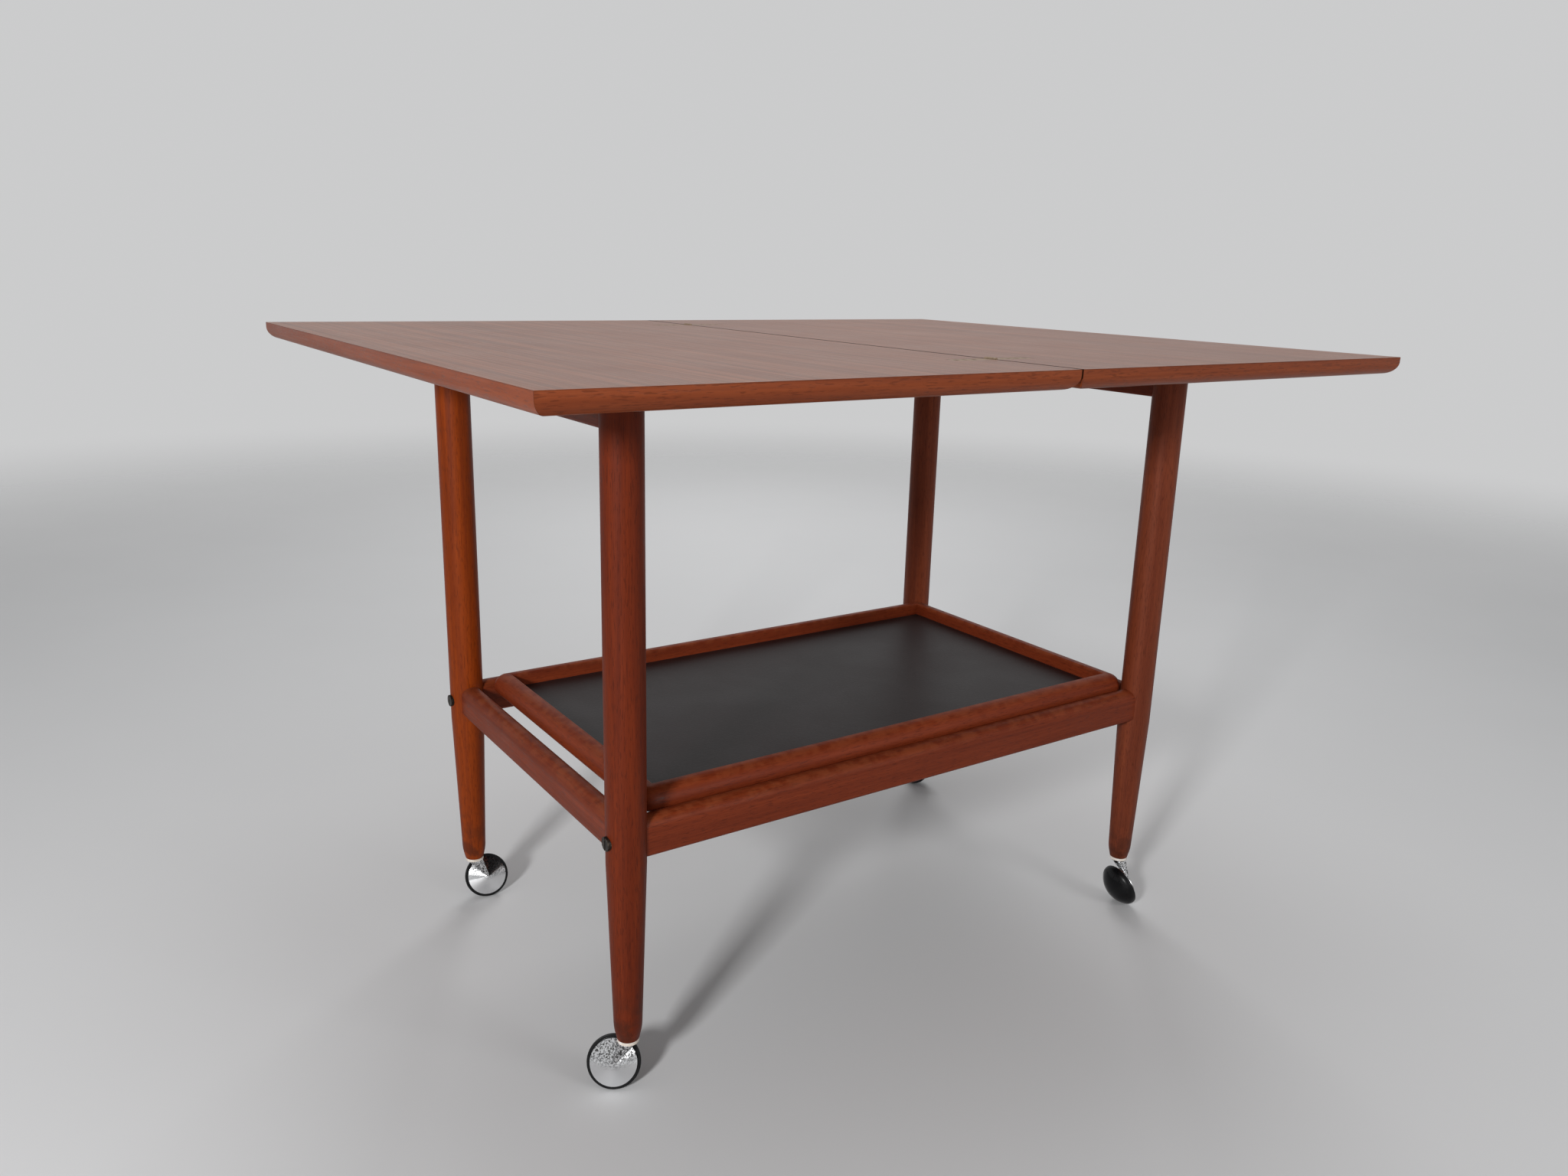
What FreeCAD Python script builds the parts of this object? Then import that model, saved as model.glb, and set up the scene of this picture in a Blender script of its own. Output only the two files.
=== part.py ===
import FreeCAD, Part
import math
import os
import re

# Fold-over tea trolley: a teak frame on four casters, a swivelling top made of two hinged
# leaves, and a lift-out tray. Lengths are millimetres and angles are degrees.
# The origin is on the floor under the middle of the fold. +X runs along the open top,
# +Y along the fold and +Z up. The top is drawn open, turned across the frame.

SIZES = {
    # Top: two equal leaves, veneered boards with a solid lipping
    "top_height": 660.0,
    "leaf_width": 468.0,
    "leaf_length": 750.0,
    "leaf_thickness": 17.0,
    "leaf_edge_radius": 12.0,
    "lipping_width": 14.0,
    "fold_gap": 1.2,
    # Flush brass hinges across the fold
    "hinge_spacing": 537.0,
    "hinge_plate_length": 46.0,
    "hinge_plate_width": 14.0,
    "hinge_plate_thickness": 2.0,
    "hinge_plate_sink": 0.05,
    "hinge_axis_rise": 0.15,
    "knuckle_dia": 3.0,
    "knuckle_gap": 0.3,
    "hinge_pin_dia": 1.5,
    "hinge_screw_dia": 3.0,
    "hinge_screw_head_dia": 5.6,
    "hinge_screw_head_depth": 1.4,
    "hinge_screw_length": 9.0,
    "hinge_screw_first": 20.0,
    "hinge_screw_step": 10.5,
    "hinge_slot_width": 0.8,
    "hinge_slot_depth": 0.7,
    # Frame: turned legs, end rails, bearers and stretchers
    "frame_offset": 6.0,
    "leg_span_x": 660.0,
    "leg_span_y": 398.0,
    "leg_dia": 36.0,
    "leg_shoulder_dia": 25.8,
    "leg_shoulder_rise": 12.0,
    "leg_shoulder_radius": 40.0,
    "leg_tip_dia": 20.4,
    "leg_tip_height": 54.8,
    "leg_tip_round": 0.8,
    "leg_taper_start": 231.0,
    "rail_height": 36.0,
    "rail_thickness": 22.0,
    "rail_edge_radius": 3.0,
    "stretcher_height": 253.0,
    "stretcher_depth": 36.0,
    "stretcher_thickness": 22.0,
    "stretcher_top_radius": 10.4,
    "long_stretcher_under_radius": 4.0,
    "short_stretcher_under_radius": 8.5,
    "bearer_width": 60.0,
    "bearer_thickness": 18.0,
    # Fasteners of the frame
    "bolt_dia": 6.0,
    "bolt_head_dia": 13.0,
    "bolt_head_height": 3.6,
    "bolt_seat_depth": 1.4,
    "bolt_slot_width": 1.6,
    "bolt_slot_depth": 1.2,
    "barrel_nut_dia": 10.0,
    "barrel_nut_length": 16.0,
    "barrel_nut_inset": 30.0,
    "dowel_dia": 10.0,
    "dowel_in_leg": 12.0,
    "dowel_in_rail": 25.0,
    # Felt glides on the end rails and the swivel under the fixed leaf
    "glide_thickness": 1.0,
    "glide_width": 14.0,
    "glide_end_gap": 21.0,
    "pivot_plate_dia": 80.0,
    "pivot_plate_thickness": 3.0,
    "pivot_stud_dia": 12.0,
    "pivot_screw_circle": 58.0,
    "pivot_screw_dia": 4.0,
    "pivot_screw_head_dia": 7.6,
    "pivot_screw_head_depth": 2.0,
    "pivot_screw_length": 12.0,
    "pivot_washer_dia": 30.0,
    "pivot_washer_thickness": 2.0,
    "pivot_ring_thickness": 1.0,
    "pivot_nut_flats": 19.0,
    "pivot_nut_height": 9.0,
    # Tray: four mitred bars round a laminated panel, and the ledges that carry it
    "tray_inset_x": 16.0,
    "tray_inset_y": 13.5,
    "tray_shift_x": 5.5,
    "tray_shift_y": -4.5,
    "tray_bar_width": 19.0,
    "tray_bar_height": 20.0,
    "tray_top_radius": 14.2,
    "tray_bottom_radius": 4.2,
    "tray_inner_radius": 1.5,
    "tray_corner_radius": 15.0,
    "tray_rise": 14.0,
    "tray_panel_thickness": 4.0,
    "tray_tongue_thickness": 2.0,
    "tray_panel_lift": 1.0,
    "tray_groove_depth": 6.0,
    "ledge_width": 18.0,
    "ledge_depth": 14.0,
    "ledge_end_gap": 42.0,
    "ledge_screw_dia": 4.0,
    "ledge_screw_head_dia": 7.6,
    "ledge_screw_head_depth": 2.0,
    "ledge_screw_length": 28.0,
    "ledge_screw_inset": 50.0,
    # Casters: chrome hood on a stem, black wheel on a tilted axle
    "wheel_dia": 50.0,
    "wheel_dome_depth": 17.5,
    "wheel_shoulder_radius": 8.0,
    "wheel_rim_width": 1.6,
    "tyre_band": 3.8,
    "tyre_edge_radius": 0.8,
    "axle_tilt": 20.0,
    "axle_dia": 6.0,
    "axle_in_wheel": 11.0,
    "axle_in_hood": 7.0,
    "caster_trail": 14.0,
    "caster_setback": 5.0,
    "hood_dia": 43.6,
    "hood_wall": 2.0,
    "hood_lip": 1.6,
    "hood_height": 13.3,
    "hood_tip_dia": 1.6,
    "hood_gap": 0.6,
    "hood_boss_dia": 12.0,
    "neck_dia": 18.0,
    "ridge_end_dia": 3.0,
    "ridge_end_inset": 1.8,
    "stem_dia": 8.0,
    "stem_in_neck": 4.0,
    "stem_in_leg": 36.0,
    "socket_dia": 12.0,
    "socket_length": 40.0,
    "socket_flange_dia": 20.0,
    "socket_flange_height": 3.0,
    # Clearances
    "glide_gap": 0.3,
    "joint_gap": 0.05,
    "fit_gap": 0.05,
    "bolt_gap": 0.25,
    "run_gap": 0.06,
    "rest_gap": 0.2,
    "cut_overrun": 2.0,
    # How much of a piece's thickness a rounding may take at most
    "rounding_share": 0.475,
    "leaf_rounding_share": 0.75,
    "rim_rounding_share": 0.8,
    "tray_top_share": 0.74,
    "tray_under_share": 0.22,
    "tray_corner_share": 0.96,
}

# Which way each caster points in the resting pose, and which hand of the pair it is
CASTERS = {
    "front_left": {"x": -1, "y": -1, "yaw": -122.5, "hand": -1},
    "front_right": {"x": 1, "y": -1, "yaw": -7.0, "hand": -1},
    "back_left": {"x": -1, "y": 1, "yaw": -98.5, "hand": 1},
    "back_right": {"x": 1, "y": 1, "yaw": -180.0, "hand": 1},
}
SIDES_X = {"left": -1, "right": 1}
SIDES_Y = {"front": -1, "back": 1}

doc = FreeCAD.newDocument("tea_trolley")
sheet = doc.addObject("Spreadsheet::Sheet", "Sizes")
for row, (alias, number) in enumerate(SIZES.items(), start=1):
    sheet.set(f"A{row}", alias)
    sheet.set(f"B{row}", str(number))
    sheet.setAlias(f"B{row}", alias)
doc.recompute()

parts = []

# Heights and places that several pieces share, written as formulas of the sheet's sizes
LEAF_BOTTOM = "(top_height - leaf_thickness)"
FRAME_TOP = f"({LEAF_BOTTOM} - glide_gap - glide_thickness)"
RAIL_MIDDLE = f"({FRAME_TOP} - rail_height / 2)"
PLATE_BOTTOM = f"({LEAF_BOTTOM} - pivot_plate_thickness)"
BEARER_TOP = f"({PLATE_BOTTOM} - glide_gap - pivot_ring_thickness)"
BEARER_MIDDLE = f"({BEARER_TOP} - bearer_thickness / 2)"
BEARER_BOTTOM = f"({BEARER_TOP} - bearer_thickness)"
LEAF_MIDDLE = "((leaf_width + fold_gap) / 2)"
PIVOT_X = f"((frame_offset - {LEAF_MIDDLE}) / 2)"
PIVOT_Y = f"((frame_offset + {LEAF_MIDDLE}) / 2)"
HINGE_AXIS = "(top_height + hinge_axis_rise)"
TRAY_TOP = "(stretcher_height + stretcher_depth / 2 + tray_rise)"
TRAY_BOTTOM = f"({TRAY_TOP} - tray_bar_height)"
PANEL_BOTTOM = f"({TRAY_BOTTOM} + tray_panel_lift)"
LEDGE_TOP = f"({TRAY_BOTTOM} - rest_gap)"
NECK_TOP = "(leg_tip_height - socket_flange_height - glide_gap)"

TURN = {
    "x": FreeCAD.Rotation(FreeCAD.Vector(0, 1, 0), 90),
    "y": FreeCAD.Rotation(FreeCAD.Vector(1, 0, 0), -90),
    "z": FreeCAD.Rotation(),
}


def formula(text):
    """The text with each size's name pointing at its cell of the sheet."""
    def cell(word):
        return "Sizes." + word.group() if word.group() in SIZES else word.group()
    return re.sub(r"[a-z][a-z_]*", cell, text)


def size(text):
    """The number that a formula of sizes comes to."""
    return float(sheet.evalExpression(formula(text)))


def primitive(kind, sizes, base, turn=None):
    """A Part primitive with its sizes and its base point bound to the sheet."""
    piece = doc.addObject("Part::" + kind, kind)
    if turn is not None:
        piece.Placement.Rotation = turn
    for name, text in sizes.items():
        piece.setExpression(name, formula(text))
    for axis, text in zip("xyz", base):
        piece.setExpression(f"Placement.Base.{axis}", formula(text))
    return piece


def block(middle, spans):
    """A box from its middle and its spans along X, Y and Z."""
    base = [f"({place}) - ({span}) / 2" for place, span in zip(middle, spans)]
    return primitive("Box", dict(zip(("Length", "Width", "Height"), spans)), base)


def from_middle(axis, middle, length):
    """The base point of a round piece that runs along an axis, from its middle."""
    base = list(middle)
    place = "xyz".index(axis)
    base[place] = f"({middle[place]}) - ({length}) / 2"
    return base


def rod(axis, middle, dia, length):
    """A cylinder along an axis, from its middle."""
    sizes = {"Radius": f"({dia}) / 2", "Height": length}
    return primitive("Cylinder", sizes, from_middle(axis, middle, length), TURN[axis])


def taper(axis, middle, start_dia, end_dia, length):
    """A cone along an axis, from its middle, with the diameters at its low and high ends."""
    sizes = {"Radius1": f"({start_dia}) / 2", "Radius2": f"({end_dia}) / 2", "Height": length}
    return primitive("Cone", sizes, from_middle(axis, middle, length), TURN[axis])


def join(*pieces):
    fused = doc.addObject("Part::MultiFuse", "Fuse")
    fused.Shapes = list(pieces)
    fused.Refine = True
    return fused


def cut(piece, *tools):
    for tool in tools:
        rest = doc.addObject("Part::Cut", "Cut")
        rest.Base = piece
        rest.Tool = tool
        rest.Refine = True
        piece = rest
    return piece


def overlap(piece, region):
    kept = doc.addObject("Part::Common", "Common")
    kept.Base = piece
    kept.Tool = region
    return kept


def fillet(piece, radius, chosen):
    """Rounds the edges of a piece that chosen() picks."""
    doc.recompute()
    rounded = doc.addObject("Part::Fillet", "Fillet")
    rounded.Base = piece
    amount = size(radius)
    edges = enumerate(piece.Shape.Edges, start=1)
    rounded.Edges = [(number, amount, amount) for number, edge in edges if chosen(edge)]
    doc.recompute()
    return rounded


def along(axis, keep=None):
    """Picks straight edges that run along an axis, above or below a height where keep says so."""
    def chosen(edge):
        box = edge.BoundBox
        spans = {"x": box.XLength, "y": box.YLength, "z": box.ZLength}
        others = [span for name, span in spans.items() if name != axis]
        return spans[axis] > sum(others) and (keep is None or keep(box.ZMin))
    return chosen


def above(text):
    height = size(text)
    return lambda place: place > height


def below(text):
    height = size(text)
    return lambda place: place < height


def at_height(text):
    """Picks edges that lie level at a height."""
    height = size(text)
    slack = size("fit_gap")
    return lambda edge: abs(edge.BoundBox.ZMin - height) + abs(edge.BoundBox.ZMax - height) < slack


def finish(piece, name):
    piece.Label = name
    parts.append(piece)


def group(pieces, name):
    """Like pieces kept together as one sub-part of separate solids."""
    bundle = doc.addObject("Part::Compound", "Group")
    bundle.Links = list(pieces)
    finish(bundle, name)


def mitred(piece, middle, spans, width, heights):
    """The four strips, mitred at the corners, that a rectangular frame is made of.

    They come in the order front, right, back, left.
    """
    strips = []
    low, high = heights
    for quarter in range(4):
        long_span, cross_span = spans if quarter % 2 == 0 else spans[::-1]
        outer = f"(({cross_span}) / 2 + cut_overrun)"
        end = f"(({long_span}) / 2 + cut_overrun)"
        reach = f"({width} + cut_overrun)"
        sizes = {
            "Xmin": f"-{end}",
            "Xmax": end,
            "X2min": f"-{end} + {reach}",
            "X2max": f"{end} - {reach}",
            "Ymin": f"-{outer}",
            "Ymax": f"-{outer} + {reach}",
            "Zmin": low,
            "Zmax": high,
            "Z2min": low,
            "Z2max": high,
        }
        turn = FreeCAD.Rotation(FreeCAD.Vector(0, 0, 1), 90 * quarter)
        wedge = primitive("Wedge", sizes, (middle[0], middle[1], "0"), turn)
        strips.append(overlap(piece, wedge))
    return strips


def screw(axis, face, kind, inward, extra="0"):
    """A countersunk screw of a kind, with its head's flat at face, driven along the axis.

    inward is 1 or -1 and says which way. extra is added to each diameter, for the screw's hole.
    """
    place = "xyz".index(axis)
    head = list(face)
    head[place] = f"({face[place]}) + {inward} * {kind}_screw_head_depth / 2"
    shank = list(face)
    shank[place] = f"({face[place]}) + {inward} * {kind}_screw_length / 2"
    wide = f"{kind}_screw_head_dia + {extra}"
    narrow = f"{kind}_screw_dia + {extra}"
    ends = (wide, narrow) if inward > 0 else (narrow, wide)
    return join(taper(axis, head, *ends, f"{kind}_screw_head_depth"),
                rod(axis, shank, narrow, f"{kind}_screw_length"))


def frame_x(side, reach):
    """A place on the frame to the left or right of the frame's middle."""
    return f"(frame_offset + {side} * ({reach}))"


def leg_axis(corner):
    return frame_x(corner["x"], "leg_span_x / 2"), f"{corner['y']} * leg_span_y / 2"


SCREW_HOLE = "2 * fit_gap"
DOWEL_HOLE = "2 * fit_gap"
LEG_INSIDE_X = "(leg_span_x - leg_dia) / 2"
LEG_INSIDE_Y = "(leg_span_y - leg_dia) / 2"
RAIL_INSIDE = "(leg_span_x - rail_thickness) / 2"
STRETCHER_INSIDE = "((leg_span_y - stretcher_thickness) / 2)"


def dowel(axis, face, inward, extra="0"):
    """A dowel across a joint whose face is given; inward points into the rail."""
    place = "xyz".index(axis)
    middle = list(face)
    middle[place] = f"({face[place]}) + {inward} * (dowel_in_rail - dowel_in_leg) / 2"
    length = f"dowel_in_leg + dowel_in_rail + {extra} - fit_gap"
    return rod(axis, middle, f"dowel_dia + {extra}", length)


def leg_dowel(corner, height, extra="0"):
    """The dowel from a leg into the end rail or short stretcher beside it."""
    face = (leg_axis(corner)[0], f"{corner['y']} * {LEG_INSIDE_Y}", height)
    return dowel("y", face, -corner["y"], extra)


def bearer_dowel(corner, extra="0"):
    """The dowel from an end rail into the end of a bearer."""
    face = (frame_x(corner["x"], RAIL_INSIDE), f"{corner['y']} * {PIVOT_Y}", BEARER_MIDDLE)
    return dowel("x", face, -corner["x"], extra)


BOLT_SEAT = "((leg_span_x + leg_dia) / 2 - bolt_seat_depth)"


def bolt(corner, extra_head="0", extra_shank="0"):
    """A bolt through a leg into the end of a long stretcher."""
    side = corner["x"]
    y = leg_axis(corner)[1]
    length = "(leg_dia - bolt_seat_depth + barrel_nut_inset + barrel_nut_dia)"
    head_place = (frame_x(side, f"{BOLT_SEAT} + bolt_head_height / 2"), y, "stretcher_height")
    shank_place = (frame_x(side, f"{BOLT_SEAT} - {length} / 2"), y, "stretcher_height")
    head = rod("x", head_place, f"bolt_head_dia + {extra_head}", "bolt_head_height")
    shank = rod("x", shank_place, f"bolt_dia + {extra_shank}", length)
    return join(head, shank)


# Turned legs: straight down to the stretchers, then tapered, and drawn in at the tip
for name, corner in CASTERS.items():
    x, y = leg_axis(corner)
    straight_length = f"({FRAME_TOP} - leg_taper_start)"
    straight = rod("z", (x, y, f"leg_taper_start + {straight_length} / 2"), "leg_dia", straight_length)
    shoulder = "(leg_tip_height + leg_shoulder_rise)"
    taper_length = f"(leg_taper_start - {shoulder})"
    tapered = taper("z", (x, y, f"{shoulder} + {taper_length} / 2"), "leg_shoulder_dia", "leg_dia",
                    taper_length)
    tip = taper("z", (x, y, "leg_tip_height + leg_shoulder_rise / 2"), "leg_tip_dia", "leg_shoulder_dia",
                "leg_shoulder_rise")
    turned = fillet(join(straight, tapered, tip), "leg_shoulder_radius", at_height(shoulder))
    turned = fillet(turned, "leg_tip_round", at_height("leg_tip_height"))
    socket_hole = rod("z", (x, y, "leg_tip_height + (socket_length - cut_overrun) / 2"),
                      "socket_dia + 2 * fit_gap", "socket_length + cut_overrun")
    holes = [
        socket_hole,
        bolt(corner, "2 * fit_gap", "2 * bolt_gap"),
        leg_dowel(corner, RAIL_MIDDLE, DOWEL_HOLE),
        leg_dowel(corner, "stretcher_height", DOWEL_HOLE),
    ]
    finish(cut(turned, *holes), f"leg_{name}")

# The legs' round faces, which rails and stretchers are coped to
leg_faces = {}
for name, corner in CASTERS.items():
    x, y = leg_axis(corner)
    leg_faces[name] = rod("z", (x, y, "top_height / 2"), "leg_dia + 2 * joint_gap", "top_height")


def corners_on(way, side):
    """The names of the two corners on one side of the frame."""
    return [name for name, corner in CASTERS.items() if corner[way] == side]


# Upper end rails and short stretchers, doweled between the front and back leg of each end
STRETCHER_ROUND = "min(stretcher_top_radius; stretcher_thickness * rounding_share)"
for name, side in SIDES_X.items():
    x = frame_x(side, "leg_span_x / 2")
    ends = corners_on("x", side)
    coped = [leg_faces[end] for end in ends]
    rail = block((x, "0", RAIL_MIDDLE), ("rail_thickness", "leg_span_y", "rail_height"))
    rail = fillet(rail, "rail_edge_radius", along("y", below(RAIL_MIDDLE)))
    holes = [leg_dowel(CASTERS[end], RAIL_MIDDLE, DOWEL_HOLE) for end in ends]
    holes += [bearer_dowel(CASTERS[end], DOWEL_HOLE) for end in ends]
    finish(cut(rail, *coped, *holes), f"end_rail_{name}")

    bar = block((x, "0", "stretcher_height"), ("stretcher_thickness", "leg_span_y", "stretcher_depth"))
    bar = fillet(bar, STRETCHER_ROUND, along("y", above("stretcher_height")))
    under = "min(short_stretcher_under_radius; stretcher_thickness * rounding_share)"
    bar = fillet(bar, under, along("y", below("stretcher_height - stretcher_depth * rounding_share")))
    holes = [leg_dowel(CASTERS[end], "stretcher_height", DOWEL_HOLE) for end in ends]
    finish(cut(bar, *coped, *holes), f"short_stretcher_{name}")

# Long stretchers, bolted through the legs into barrel nuts, and the ledges for the tray
barrel_nuts = []
ledge_screws = []
for name, side in SIDES_Y.items():
    y = f"{side} * leg_span_y / 2"
    ends = corners_on("y", side)
    coped = [leg_faces[end] for end in ends]
    bar = block(("frame_offset", y, "stretcher_height"),
                ("leg_span_x", "stretcher_thickness", "stretcher_depth"))
    bar = fillet(bar, STRETCHER_ROUND, along("x", above("stretcher_height")))
    under = "min(long_stretcher_under_radius; stretcher_thickness * rounding_share)"
    bar = fillet(bar, under, along("x", below("stretcher_height - stretcher_depth * rounding_share")))
    holes = []
    for end in ends:
        nut_x = frame_x(CASTERS[end]["x"], f"{LEG_INSIDE_X} - barrel_nut_inset")
        nut_y = f"{side} * ({STRETCHER_INSIDE} + barrel_nut_length / 2)"
        nut_place = (nut_x, nut_y, "stretcher_height")
        nut = rod("y", nut_place, "barrel_nut_dia", "barrel_nut_length")
        thread = rod("x", (nut_x, y, "stretcher_height"), "bolt_dia + 2 * fit_gap", "2 * barrel_nut_dia")
        barrel_nuts.append(cut(nut, thread))
        holes.append(rod("y", nut_place, "barrel_nut_dia + 2 * fit_gap", "barrel_nut_length + 2 * fit_gap"))
        holes.append(bolt(CASTERS[end], "0", "2 * bolt_gap"))
    ledge_height = f"({LEDGE_TOP} - ledge_depth / 2)"
    ledge_reach = f"({LEG_INSIDE_X} - ledge_end_gap)"
    ledge = block(("frame_offset", f"{side} * ({STRETCHER_INSIDE} - ledge_width / 2)", ledge_height),
                  (f"2 * {ledge_reach}", "ledge_width", "ledge_depth"))
    ledge_holes = []
    for step in (-1, 0, 1):
        face = (f"frame_offset + {step} * ({ledge_reach} - ledge_screw_inset)",
                f"{side} * ({STRETCHER_INSIDE} - ledge_width)", ledge_height)
        ledge_screws.append(screw("y", face, "ledge", side))
        ledge_holes.append(screw("y", face, "ledge", side, SCREW_HOLE))
    finish(cut(bar, *coped, *holes, *ledge_holes), f"long_stretcher_{name}")
    finish(cut(ledge, *ledge_holes), f"tray_ledge_{name}")
group(barrel_nuts, "barrel_nuts")
group(ledge_screws, "ledge_screws")

# Slotted stretcher bolts, one through each leg
bolts = []
for corner in CASTERS.values():
    head_face = frame_x(corner["x"], f"{BOLT_SEAT} + bolt_head_height")
    slot = block((head_face, leg_axis(corner)[1], "stretcher_height"),
                 ("2 * bolt_slot_depth", "bolt_slot_width", "2 * bolt_head_dia"))
    bolts.append(cut(bolt(corner), slot))
group(bolts, "stretcher_bolts")

# Bearers between the end rails; the back one carries the swivel
for name, side in SIDES_Y.items():
    board = block(("frame_offset", f"{side} * {PIVOT_Y}", BEARER_MIDDLE),
                  ("leg_span_x - rail_thickness", "bearer_width", "bearer_thickness"))
    holes = [bearer_dowel(CASTERS[end], DOWEL_HOLE) for end in corners_on("y", side)]
    if name == "back":
        holes.append(rod("z", (PIVOT_X, PIVOT_Y, BEARER_MIDDLE), "pivot_stud_dia + 2 * run_gap",
                         "2 * bearer_thickness"))
    finish(cut(board, *holes), f"bearer_{name}")

dowels = [bearer_dowel(corner) for corner in CASTERS.values()]
for height in (RAIL_MIDDLE, "stretcher_height"):
    dowels += [leg_dowel(corner, height) for corner in CASTERS.values()]
group(dowels, "frame_dowels")

# Felt strips on the end rails that the leaves slide on
glides = []
for side in SIDES_X.values():
    middle = (frame_x(side, "leg_span_x / 2"), "0", f"{FRAME_TOP} + glide_thickness / 2")
    glide_length = f"2 * ({LEG_INSIDE_Y} - glide_end_gap)"
    glides.append(block(middle, ("glide_width", glide_length, "glide_thickness")))
group(glides, "glide_strips")

# Nylon sockets for the caster stems, with a flange under each leg tip
sockets = []
for corner in CASTERS.values():
    x, y = leg_axis(corner)
    flange = rod("z", (x, y, "leg_tip_height - socket_flange_height / 2"), "socket_flange_dia",
                 "socket_flange_height")
    sleeve = rod("z", (x, y, "leg_tip_height + (socket_length - fit_gap) / 2"), "socket_dia",
                 "socket_length - fit_gap")
    bore_top = "(leg_tip_height + stem_in_leg + run_gap)"
    bore_length = "(stem_in_leg + run_gap + socket_flange_height + cut_overrun)"
    bore = rod("z", (x, y, f"{bore_top} - {bore_length} / 2"), "stem_dia + 2 * run_gap", bore_length)
    sockets.append(cut(join(flange, sleeve), bore))
group(sockets, "caster_sockets")

# Swivel: a plate with a stud under the fixed leaf, held by a nut below the back bearer
WASHER_TOP = f"({BEARER_BOTTOM} - glide_gap)"
NUT_TOP = f"({WASHER_TOP} - pivot_washer_thickness)"
STUD_LENGTH = f"({LEAF_BOTTOM} - {NUT_TOP} + pivot_nut_height)"


def on_pivot(height):
    return PIVOT_X, PIVOT_Y, height


def pivot_hole(clearance):
    """A hole for the stud right through whatever lies round the pivot."""
    return rod("z", on_pivot(BEARER_MIDDLE), f"pivot_stud_dia + 2 * {clearance}", f"2 * {STUD_LENGTH}")


plate = rod("z", on_pivot(f"{LEAF_BOTTOM} - pivot_plate_thickness / 2"), "pivot_plate_dia",
            "pivot_plate_thickness")
stud = rod("z", on_pivot(f"{LEAF_BOTTOM} - {STUD_LENGTH} / 2"), "pivot_stud_dia", STUD_LENGTH)
pivot_screws = []
pivot_screw_holes = []
for quarter in range(4):
    angle = math.radians(45 + 90 * quarter)
    face = (f"{PIVOT_X} + {math.cos(angle)} * pivot_screw_circle / 2",
            f"{PIVOT_Y} + {math.sin(angle)} * pivot_screw_circle / 2", PLATE_BOTTOM)
    pivot_screws.append(screw("z", face, "pivot", 1))
    pivot_screw_holes.append(screw("z", face, "pivot", 1, SCREW_HOLE))
finish(cut(join(plate, stud), *pivot_screw_holes), "pivot_plate")
group(pivot_screws, "pivot_screws")
ring = rod("z", on_pivot(f"{BEARER_TOP} + pivot_ring_thickness / 2"), "bearer_width", "pivot_ring_thickness")
finish(cut(ring, pivot_hole("run_gap")), "pivot_glide_ring")
washer = rod("z", on_pivot(f"{WASHER_TOP} - pivot_washer_thickness / 2"), "pivot_washer_dia",
             "pivot_washer_thickness")
finish(cut(washer, pivot_hole("fit_gap")), "pivot_washer")
nut = primitive("Prism", {"Circumradius": "pivot_nut_flats / sqrt(3)", "Height": "pivot_nut_height"},
                on_pivot(f"{NUT_TOP} - pivot_nut_height"))
finish(cut(nut, pivot_hole("fit_gap")), "pivot_nut")

# Hinges: the fixed plate has the outer knuckles, the folding plate the middle one
LEAVES = {"fixed": -1, "folding": 1}
HINGE_ENDS = (-1, 1)
HINGE_SCREWS = 3
KNUCKLE_ROOM = "(knuckle_dia + 2 * knuckle_gap)"
MIDDLE_KNUCKLE = "(hinge_plate_width / 2 - knuckle_gap)"
OUTER_KNUCKLE = "(hinge_plate_width / 4 - knuckle_gap / 2)"
OUTER_KNUCKLE_PLACE = f"(hinge_plate_width / 2 - {OUTER_KNUCKLE} / 2)"
PLATE_TOP = "(top_height - hinge_plate_sink)"


def hinge_middle(end):
    return f"{end} * hinge_spacing / 2"


def hinge_rod(end, dia, length):
    """A round piece or hole on the hinge's axis, in the middle of the hinge at one end."""
    return rod("y", ("0", hinge_middle(end), HINGE_AXIS), dia, length)


def hinge_screw_heads(side, end):
    """Where the flats of the screw heads of one hinge plate are."""
    return [(f"{side} * (hinge_screw_first + {step} * hinge_screw_step)", hinge_middle(end), PLATE_TOP)
            for step in range(HINGE_SCREWS)]


def hinge_screws(side, end, extra="0"):
    return [screw("z", head, "hinge", -1, extra) for head in hinge_screw_heads(side, end)]


def hinge_slots(side, end):
    """What is cut out of the screw heads of one hinge plate for a screwdriver."""
    spans = ("hinge_slot_width", "2 * hinge_screw_head_dia", "2 * hinge_slot_depth")
    return [block(head, spans) for head in hinge_screw_heads(side, end)]


def hinge_plate(side, end):
    """One hinge plate: side -1 is screwed to the fixed leaf, side 1 to the folding leaf."""
    y = hinge_middle(end)
    outer = [(f"{y} + {way} * {OUTER_KNUCKLE_PLACE}", OUTER_KNUCKLE) for way in HINGE_ENDS]
    middle = [(y, MIDDLE_KNUCKLE)]
    own, other = (outer, middle) if side < 0 else (middle, outer)
    flat_x = f"{side} * (hinge_plate_length + fold_gap / 2) / 2"
    flat = block((flat_x, y, f"{PLATE_TOP} - hinge_plate_thickness / 2"),
                 ("hinge_plate_length - fold_gap / 2", "hinge_plate_width", "hinge_plate_thickness"))
    rooms = [rod("y", ("0", place, HINGE_AXIS), KNUCKLE_ROOM, f"{length} + 2 * knuckle_gap")
             for place, length in other]
    knuckles = [rod("y", ("0", place, HINGE_AXIS), "knuckle_dia", length) for place, length in own]
    pin_hole = hinge_rod(end, "hinge_pin_dia + 2 * run_gap", "2 * hinge_plate_width")
    return cut(join(cut(flat, *rooms), *knuckles), pin_hole, *hinge_screws(side, end, SCREW_HOLE))


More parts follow.
